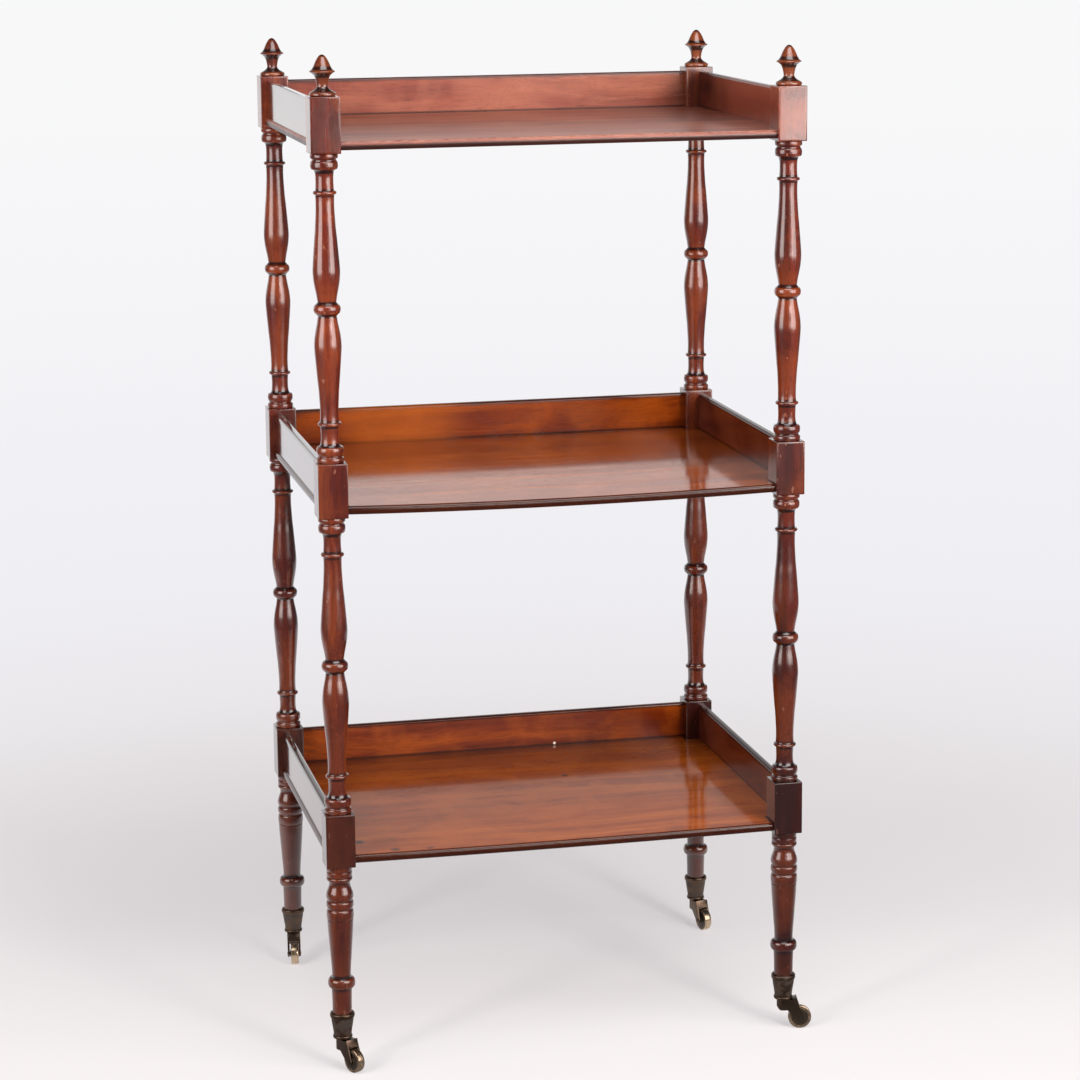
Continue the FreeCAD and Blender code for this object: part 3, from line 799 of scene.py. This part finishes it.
def eased_block(low, high, ease, margin, dark):
    """A squared length with eased, worn arrises; dark is how much painted shade darkens it."""
    bm = bmesh.new()
    hollow, crest = marked(bm)
    middle = [(a + b) / 2 * MM for a, b in zip(low, high)]
    size = [(b - a) * MM for a, b in zip(low, high)]
    matrix = Matrix.Translation(middle) @ Matrix.Diagonal((*size, 1))
    bmesh.ops.create_cube(bm, size=1, matrix=matrix)
    bmesh.ops.bevel(
        bm, geom=list(bm.edges), offset=ease * MM, segments=3, profile=0.5, affect="EDGES"
    )
    for vert in bm.verts:
        vert[crest] = ARRIS_WEAR
        vert[hollow] = dark
    faces = sorted(bm.faces, key=lambda face: -face.calc_area())[:6]
    before = set(bm.verts)
    bmesh.ops.inset_individual(bm, faces=faces, thickness=margin * MM, depth=0)
    for vert in set(bm.verts) - before:
        vert[crest] = 0.0
        vert[hollow] = dark
    return bm


# --- Posts and finials ----------------------------------------------------------------------

CORE_RADIUS = 12  # a thin core carries the turning through each block
CORE_SHORT = 2  # how far it stays below the ends of a block
CORE_CAP = 1.9
BLOCK_EASE = 0.7
BLOCK_WEAR_WIDTH = 2.2
BLOCK_SHADE = (0.48, 0.30, 0.0)  # painted shade, from the lower tier up
POST_FACETS = 72
ROUND_FACETS = 56

for corner in CORNERS:
    x, y = corner_centre(corner)
    cuts = list(LEG)
    for tier in (0, 1):
        low = tier_base(tier) - FOOT_HEIGHT + BLOCK_HEIGHT
        cuts += [(low - BLOCK_HEIGHT + CORE_SHORT, CORE_RADIUS), (low - CORE_SHORT, CORE_RADIUS)]
        cuts += spindle(low)
    low = tier_base(2) - FOOT_HEIGHT
    high = low + BLOCK_HEIGHT
    cuts += [(low + CORE_SHORT, CORE_RADIUS), (high - CORE_SHORT, CORE_RADIUS)]
    cuts.append((high - CORE_CAP, 0))
    stand = Matrix.Translation((x, y, FOOT_HEIGHT * MM))
    post = turned(f"post_{corner}", cuts, POST_WOOD, POST_FACETS, stand)
    half = BLOCK_SIDE / 2
    for tier, wax_and_shade in enumerate(BLOCK_SHADE):
        base = tier_base(tier)
        foot = (x / MM - half, y / MM - half, base)
        head = (x / MM + half, y / MM + half, base + BLOCK_HEIGHT)
        post = joined(post, eased_block(foot, head, BLOCK_EASE, BLOCK_WEAR_WIDTH, wax_and_shade))
    finished_piece(
        f"turned_post_{corner}", post, POST_WOOD, "frame", [f"post_{corner}"]
    )
    crown = Matrix.Translation((x, y, (tier_base(2) + BLOCK_HEIGHT) * MM))
    finial = turned(f"finial_{corner}", FINIAL, FINIAL_WOOD, ROUND_FACETS, crown)
    finished_piece(
        f"turned_finial_{corner}",
        finial,
        FINIAL_WOOD,
        "frame",
        [f"finial_{corner}"],
    )


# --- Shelves --------------------------------------------------------------------------------

SHELF_THICKNESS = 9.0
SHELF_BITE = 2.0  # how far a shelf's corner runs into the block
SHELF_DIVISIONS = 16
SAG_SPREAD = 1.2  # above 1, the sag dies out before it reaches the posts
# Painted shade under a shelf and over its nosing.
NOSING_SHADE = 0.8
SHADE_STEP = 0.05  # less painted shade at each step up the nosing
# The nosing's upper half: how far in from the edge, and how high over the underside.
NOSING = [
    (0.0, 4.5),
    (0.16, 5.8),
    (0.62, 7.0),
    (1.35, 8.1),
    (2.15, 8.75),
    (3.0, 9.0),
]


def shelf_outline(node, bite):
    """Plan of a shelf, its corners cut back so that they end inside the blocks."""
    low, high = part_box(node)
    x0, y0, x1, y1 = (v / MM for v in (low.x, low.y, high.x, high.y))
    left, front = (v / MM for v in corner_centre("front_left"))
    right, back = (v / MM for v in corner_centre("back_right"))
    inner = BLOCK_SIDE / 2 - bite
    xl, xr, yf, yb = left + inner, right - inner, front + inner, back - inner
    return [
        (xl, y0), (xr, y0), (xr, yf), (x1, yf), (x1, yb), (xr, yb),
        (xr, y1), (xl, y1), (xl, yb), (x0, yb), (x0, yf), (xl, yf),
    ]  # fmt: skip


def inset_outline(points, distance):
    """The outline moved inwards by one distance all round."""
    moved = []
    count = len(points)
    for index, (x, y) in enumerate(points):
        before, after = points[index - 1], points[(index + 1) % count]
        a = Vector((x - before[0], y - before[1])).normalized()
        b = Vector((after[0] - x, after[1] - y)).normalized()
        # Each side's inward normal lies to its left.
        shift = Vector((-a.y, a.x)) + Vector((-b.y, b.x))
        moved.append((x + shift.x * distance, y + shift.y * distance))
    return moved


def shelf_mesh(node, sag, wax_and_shade, rubbed_and_lit, back_shade):
    """A board with a rounded nosing all round; sag is how far its front edge has dropped.

    The wax argument is painted shade over the nosing's upper half, and the rub is worn wood
    there that on the upper shelf also paints the highlight along the edge; the back argument
    is painted shade over the top towards the back board.
    """
    low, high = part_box(node)
    bottom = low.z / MM
    outline = shelf_outline(node, SHELF_BITE)
    # From the middle of the underside out, round the nosing and back over the top: how far
    # in, how high, how much painted shade darkens it and how rubbed it is there.
    rings = [(6.0, 0.0, NOSING_SHADE, 0)]
    for inset, level in reversed(NOSING):
        rings.append((inset, SHELF_THICKNESS - level, NOSING_SHADE, 0))
    upper_half = NOSING[1:]
    for k, (inset, level) in enumerate(upper_half):
        rings.append((inset, level, wax_and_shade - SHADE_STEP * k, rubbed_and_lit * k / (len(upper_half) - 1)))
    rings += [(5.0, SHELF_THICKNESS, 0.15, rubbed_and_lit / 2), (10.5, SHELF_THICKNESS, 0, 0)]

    bm = bmesh.new()
    hollow, crest = marked(bm)
    loops = []
    for inset, level, dirt, rub in rings:
        loop = []
        for px, py in inset_outline(outline, inset):
            vert = bm.verts.new((px * MM, py * MM, (bottom + level) * MM))
            vert[hollow] = dirt
            vert[crest] = rub
            loop.append(vert)
        loops.append(loop)
    skinned(bm, loops)

    for axis, normal in enumerate((Vector((1, 0, 0)), Vector((0, 1, 0)))):
        for k in range(1, SHELF_DIVISIONS):
            at = low[axis] + (high[axis] - low[axis]) * k / SHELF_DIVISIONS
            geom = list(bm.verts) + list(bm.edges) + list(bm.faces)
            bmesh.ops.bisect_plane(bm, geom=geom, plane_co=normal * at, plane_no=normal)
    middle_x, middle_y = (low.x + high.x) / 2, (low.y + high.y) / 2
    half_x, half_y = (high.x - low.x) / 2, (high.y - low.y) / 2
    just_under_top = low.z + (SHELF_THICKNESS - 0.1) * MM
    for vert in bm.verts:
        across, back = (vert.co.x - middle_x) / half_x, (vert.co.y - middle_y) / half_y
        if vert.co.z > just_under_top:
            vert[hollow] = max(vert[hollow], back_shade * min(1.0, max(0.0, back)))
        vert.co.z -= sag * MM * max(0.0, 1 - across * across * SAG_SPREAD) * (1 - back) / 2
    bmesh.ops.recalc_face_normals(bm, faces=bm.faces)
    return bm


# Finish, sag, nosing shade, rub and back shade of each shelf, from the lower one up; the
# shades are painted shade, and the upper shelf's rub also paints the highlight on its edge.
SHELF_STATES = (
    (SHELF_WOOD, 1.2, 0.8, 0.0, 0.55),
    (SHELF_WOOD, 3.4, 0.8, 0.0, 0.25),
    (UPPER_SHELF_WOOD, 0.0, 0.4, 1.5, 0.2),
)
for tier_name, (finish, *state) in zip(TIERS, SHELF_STATES):
    node = f"shelf_{tier_name}"
    board = shelf_mesh(node, *state)
    finished_piece(
        f"tray_shelf_{tier_name}",
        board,
        finish,
        "frame",
        [node],
        flat_angle=60,
    )


# --- Gallery boards -------------------------------------------------------------------------

BOARD_EASE = 2.4
BOARD_TENON = 8.5  # the hidden length at each end
BOARD_DIVISIONS = 12
BOARD_SHOULDER = 5  # how far below its top a board is straight
WAX_AND_SHADE_LINE, WAX_AND_SHADE_END = 2.2, 4.5  # where wax and painted shade are thick over a board's foot, and where they end
# Wax and painted shade darken a board's foot; painted shade darkens its rounded top edges.
FOOT_WAX_AND_SHADE, LINE_WAX_AND_SHADE, TOP_EDGE_SHADE = 0.8, 0.6, 0.6
TOP_FACETS = 4  # round each top edge


def board_section(low, high, ease):
    """Section across a board: thickness, height and wax and shade, with both top edges rounded."""
    thick, tall = high[0] - low[0], high[1] - low[1]
    shoulder = tall - BOARD_SHOULDER
    section = [(0.0, 0.0, FOOT_WAX_AND_SHADE), (thick, 0.0, FOOT_WAX_AND_SHADE), (thick, WAX_AND_SHADE_LINE, LINE_WAX_AND_SHADE)]
    section += [(thick, WAX_AND_SHADE_END, 0.0), (thick, shoulder, 0.0)]
    for centre, start in ((thick - ease, 0), (ease, 90)):
        for k in range(TOP_FACETS + 1):
            turn = math.radians(start + 90 * k / TOP_FACETS)
            section.append(
                (centre + ease * math.cos(turn), tall - ease + ease * math.sin(turn), TOP_EDGE_SHADE)
            )
    section += [(0.0, shoulder, 0.0), (0.0, WAX_AND_SHADE_END, 0.0), (0.0, WAX_AND_SHADE_LINE, LINE_WAX_AND_SHADE)]
    return [(low[0] + across, low[1] + level, wax_and_shade) for across, level, wax_and_shade in section]


def board_mesh(node, along):
    """A gallery board, its ends let into the blocks and its foot in the shelf."""
    low, high = (Vector(corner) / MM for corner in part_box(node))
    run = 0 if along == "X" else 1
    side = 1 - run
    start, end = low[run] + BOARD_TENON, high[run] - BOARD_TENON
    section = board_section((low[side], low[2]), (high[side], high[2]), BOARD_EASE)
    bm = bmesh.new()
    hollow, _crest = marked(bm)
    loops = []
    for station in range(BOARD_DIVISIONS + 1):
        loop = []
        for across, level, wax_and_shade in section:
            point = [0, 0, level * MM]
            point[run] = (start + (end - start) * station / BOARD_DIVISIONS) * MM
            point[side] = across * MM
            vert = bm.verts.new(point)
            vert[hollow] = wax_and_shade
            loop.append(vert)
        loops.append(loop)
    skinned(bm, loops)
    bmesh.ops.recalc_face_normals(bm, faces=bm.faces)
    return bm


for tier_name in TIERS:
    back_finish = UPPER_BACK_BOARD_WOOD if tier_name == "upper" else BACK_BOARD_WOOD
    for side_name, along, finish in (
        ("back", "X", back_finish),
        ("left", "Y", LEFT_BOARD_WOOD),
        ("right", "Y", RIGHT_BOARD_WOOD),
    ):
        node = f"gallery_{side_name}_{tier_name}"
        finished_piece(
            f"{side_name}_board_{tier_name}",
            board_mesh(node, along),
            finish,
            "frame",
            [node],
            flat_angle=35,
        )


# --- Casters --------------------------------------------------------------------------------

CASTING_EASE = 0.35
CASTING_WELD = 0.002
FLAT_TURN, SHARP_TURN = (math.radians(angle) for angle in (0.5, 35))


def eased_casting(node, ease):
    """A casting's solid with its sharp edges rounded off."""
    bm = bmesh.new()
    bm.from_mesh(frame["nodes"][node].data)
    bmesh.ops.remove_doubles(bm, verts=bm.verts, dist=CASTING_WELD * MM)
    bmesh.ops.dissolve_limit(
        bm, angle_limit=FLAT_TURN, verts=bm.verts, edges=bm.edges, delimit={"NORMAL"}
    )
    _hollow, crest = marked(bm)
    sharp = [
        edge
        for edge in bm.edges
        if len(edge.link_faces) == 2 and edge.calc_face_angle(0) > SHARP_TURN
    ]
    made = bmesh.ops.bevel(
        bm,
        geom=sharp,
        offset=ease * MM,
        segments=2,
        profile=0.5,
        affect="EDGES",
        clamp_overlap=True,
    )
    for vert in made["verts"]:
        vert[crest] = 1.0
    return bm


spins = {joint["name"]: joint for joint in frame["joints"]}
for corner in CORNERS:
    x, y = corner_centre(corner)
    seat = Matrix.Translation((x, y, FOOT_HEIGHT * MM))
    cup = turned(f"cup_{corner}", CUP, CUP_BRASS, ROUND_FACETS, seat)
    finished_piece(
        f"socket_cup_{corner}", cup, CUP_BRASS, "frame", [f"caster_cup_{corner}"]
    )
    fork = eased_casting(f"caster_fork_{corner}", CASTING_EASE)
    finished_piece(
        f"wheel_fork_{corner}",
        fork,
        FORK_BRASS,
        f"caster_{corner}",
        [f"caster_fork_{corner}"],
        flat_angle=30,
    )
    spin = spins[f"spin_{corner}"]
    lay = Vector((0, 0, 1)).rotation_difference(Vector(spin["axis"])).to_matrix().to_4x4()
    wheel = turned(
        f"wheel_{corner}",
        WHEEL,
        WHEEL_BRASS,
        ROUND_FACETS,
        Matrix.Translation(spin["pos_m"]) @ lay,
        WHEEL_MARKS,
    )
    finished_piece(
        f"brass_wheel_{corner}",
        wheel,
        WHEEL_BRASS,
        f"wheel_{corner}",
        [f"caster_wheel_{corner}"],
    )

# These stay the frame's own solids; they take only their finish here.
kept = {"cup_screws": SCREW_BRASS}
for corner in CORNERS:
    kept[f"swivel_pin_{corner}"] = PIN_IRON
    kept[f"axle_{corner}"] = PIN_IRON
for node, finish in kept.items():
    for material_slot in frame["nodes"][node].material_slots:
        material_slot.material = finish


# --- Studio ---------------------------------------------------------------------------------


def seen_directly(tree):
    """1 for rays of the camera and of reflections, 0 for light that falls on the stand."""
    light = add(tree, "ShaderNodeLightPath").outputs
    seen = light["Is Camera Ray"]
    for ray in ("Is Glossy Ray", "Is Transmission Ray"):
        seen = add(tree, MATH, {"operation": "MAXIMUM"}, {0: seen, 1: light[ray]})
    return seen


BACKDROP = "#f8f8f9"


def studio_world():
    """White for the camera; in reflections it is white behind the stand and dim before it."""
    world = bpy.data.worlds.new("studio")
    bpy.context.scene.world = world
    world.use_nodes = True
    tree = world.node_tree
    tree.nodes.clear()
    way = add(tree, "ShaderNodeTexCoord").outputs["Generated"]
    back = add(tree, VECTOR_MATH, {"operation": "DOT_PRODUCT"}, {0: way, 1: (-0.1, 0.99, 0.0)})
    screen = add(
        tree, RANGE, SMOOTH,
        {"Value": back, "From Min": 0.55, "From Max": 0.92, "To Min": 0.10, "To Max": 1.0},
    )
    height = add(tree, "ShaderNodeSeparateXYZ", {}, {"Vector": way}).outputs["Z"]
    top = add(
        tree, RANGE, SMOOTH,
        {"Value": height, "From Min": 0.18, "From Max": 0.34, "To Min": 1.0, "To Max": 0.28},
    )
    lit = add(tree, MATH, {"operation": "MULTIPLY"}, {0: screen, 1: top})
    camera = add(tree, "ShaderNodeLightPath").outputs["Is Camera Ray"]
    whole = add(tree, MATH, {"operation": "MAXIMUM"}, {0: lit, 1: camera})
    glow = add(tree, "ShaderNodeBackground", {}, {"Color": paint("#f4f4fa"), "Strength": 0.14})
    white = add(tree, "ShaderNodeBackground", {}, {"Color": paint(BACKDROP), "Strength": whole})
    shown = add(tree, "ShaderNodeMixShader", {}, {0: seen_directly(tree), 1: glow, 2: white})
    add(tree, "ShaderNodeOutputWorld", {}, {"Surface": shown})


FLOOR_REACH = 14  # half of the floor's side, in metres


def studio_floor():
    """A wide pale floor that keeps the shadow near the stand and fades into the backdrop."""
    reach = FLOOR_REACH
    floor = bpy.data.meshes.new("floor")
    floor.from_pydata(
        [(-reach, -reach, 0), (reach, -reach, 0), (reach, reach, 0), (-reach, reach, 0)],
        [],
        [(0, 1, 2, 3)],
    )
    paper, tree = new_finish("matt_white_studio_paper")
    place = add(tree, "ShaderNodeTexCoord").outputs["Object"]
    far = add(tree, VECTOR_MATH, {"operation": "LENGTH"}, {0: place})
    # Near the stand the paper takes shadows, over a glow that keeps them pale.
    lit = add(tree, "ShaderNodeBsdfDiffuse", {}, {"Color": paint("#a8a8a8")})
    glow = add(tree, "ShaderNodeEmission", {}, {"Color": paint("#b7b4b6"), "Strength": 1.0})
    near = add(tree, "ShaderNodeAddShader", {}, {0: lit, 1: glow})
    share = add(tree, MATH, {"operation": "DIVIDE"}, {0: far, 1: reach})
    stops = [(0.06, "#e6e2e4"), (0.16, "#efeef2"), (0.45, "#f5f4f7"), (0.98, BACKDROP)]
    tone = add(tree, "ShaderNodeValToRGB", {"stops": stops}, {"Fac": share})
    backdrop = add(tree, "ShaderNodeEmission", {}, {"Color": tone, "Strength": 1.0})
    fade = add(tree, RANGE, SMOOTH, {"Value": far, "From Min": 0.55, "From Max": 1.5})
    faded = add(tree, "ShaderNodeMixShader", {}, {0: fade, 1: near, 2: backdrop})
    # Reflections show the lit paper behind the stand, and a dim room before and beside it.
    spot = add(tree, "ShaderNodeSeparateXYZ", {}, {"Vector": place}).outputs
    before = add(
        tree, RANGE, SMOOTH,
        {"Value": spot["Y"], "From Min": 0.25, "From Max": -0.35, "To Max": 0.92},
    )
    aside = add(tree, MATH, {"operation": "ABSOLUTE"}, {0: spot["X"]})
    slant = add(tree, MATH, {"operation": "MULTIPLY_ADD"}, {0: spot["Y"], 1: -0.35, 2: aside})
    beside = add(
        tree, RANGE, SMOOTH,
        {"Value": slant, "From Min": 0.7, "From Max": 1.7, "To Max": 0.9},
    )
    dim = add(tree, MATH, {"operation": "MAXIMUM"}, {0: before, 1: beside})
    glossy = add(tree, "ShaderNodeLightPath").outputs["Is Glossy Ray"]
    beyond = add(tree, MATH, {"operation": "MULTIPLY"}, {0: dim, 1: glossy})
    room = add(tree, "ShaderNodeEmission", {}, {"Color": paint("#302f30"), "Strength": 1.0})
    mirrored = add(tree, "ShaderNodeMixShader", {}, {0: beyond, 1: faded, 2: room})
    bounce = add(tree, "ShaderNodeBsdfDiffuse", {}, {"Color": paint("#d8d6d6")})
    shown = add(tree, "ShaderNodeMixShader", {}, {0: seen_directly(tree), 1: bounce, 2: mirrored})
    add(tree, "ShaderNodeOutputMaterial", {}, {"Surface": shown})
    floor.materials.append(paper)
    ground = bpy.data.objects.new("studio_floor", floor)
    bpy.context.scene.collection.objects.link(ground)


WARM_WHITE = "#fff4f0"
STAND_MIDDLE = (-0.008, 0.007, 0.9)  # what the lamps point at


def softbox(name, bearing, distance, height, size, level, colour=WARM_WHITE, aim=STAND_MIDDLE):
    """An area lamp; bearing is its direction from the stand, in degrees from -Y towards +X.

    The level is how bright it looks in a mirror, where 1 is white. Lengths are in metres.
    """
    lamp = bpy.data.lights.new(name, "AREA")
    lamp.shape = "RECTANGLE"
    lamp.size, lamp.size_y = size
    lamp.energy = level * math.pi * size[0] * size[1]
    lamp.color = paint(colour)[:3]
    holder = bpy.data.objects.new(name, lamp)
    angle = math.radians(bearing)
    place = Vector((math.sin(angle) * distance, -math.cos(angle) * distance, height))
    look = (Vector(aim) - place).to_track_quat("-Z", "Y")
    holder.matrix_world = Matrix.Translation(place) @ look.to_matrix().to_4x4()
    holder.visible_camera = False
    bpy.context.scene.collection.objects.link(holder)
    return holder


studio_world()
studio_floor()
softbox("softbox_right", 40, 2.3, 1.30, (1.60, 1.65), 4.0)
# The two reflectors leave a gap, so that the boards do not mirror them in the middle shelf.
softbox("reflector_low", 17.2, 2.3, 0.78, (1.05, 0.28), 3.0, aim=(-0.008, 0.007, 0.78))
softbox("reflector_high", 17.5, 2.3, 1.62, (0.95, 0.70), 4.5)
softbox("softbox_left", -66, 2.2, 1.30, (1.50, 1.65), 3.8)
softbox("softbox_above", 5, 1.2, 2.5, (1.8, 1.2), 3.5, "#ffffff", (0, 0, 0.6))
# Two small lamps give the feet their soft shadows; the polish does not mirror them.
for name, bearing, distance, height, level in (
    ("lamp_right", 22, 2.8, 1.45, 46),
    ("lamp_left", -52, 3.2, 1.65, 43),
):
    head = softbox(name, bearing, distance, height, (0.50, 0.50), level)
    head.visible_glossy = False


# --- Camera ---------------------------------------------------------------------------------

EYE_PLACE = (-0.7625, -3.3953, 1.2691)
YAW, PITCH, ROLL = (math.radians(angle) for angle in (12.77, 10.963, 0.504))

eye = bpy.data.cameras.new("viewpoint")
eye.sensor_width = 36
eye.lens = 104.98
eye.shift_y = -0.0463
viewpoint = bpy.data.objects.new("viewpoint", eye)
bpy.context.scene.collection.objects.link(viewpoint)
viewpoint.matrix_world = (
    Matrix.Translation(EYE_PLACE)
    @ Matrix.Rotation(-YAW, 4, "Z")
    @ Matrix.Rotation(math.pi / 2 - PITCH, 4, "X")
    @ Matrix.Rotation(-ROLL, 4, "Z")
)
bpy.context.scene.camera = viewpoint
bpy.context.scene.view_settings.view_transform = "Standard"
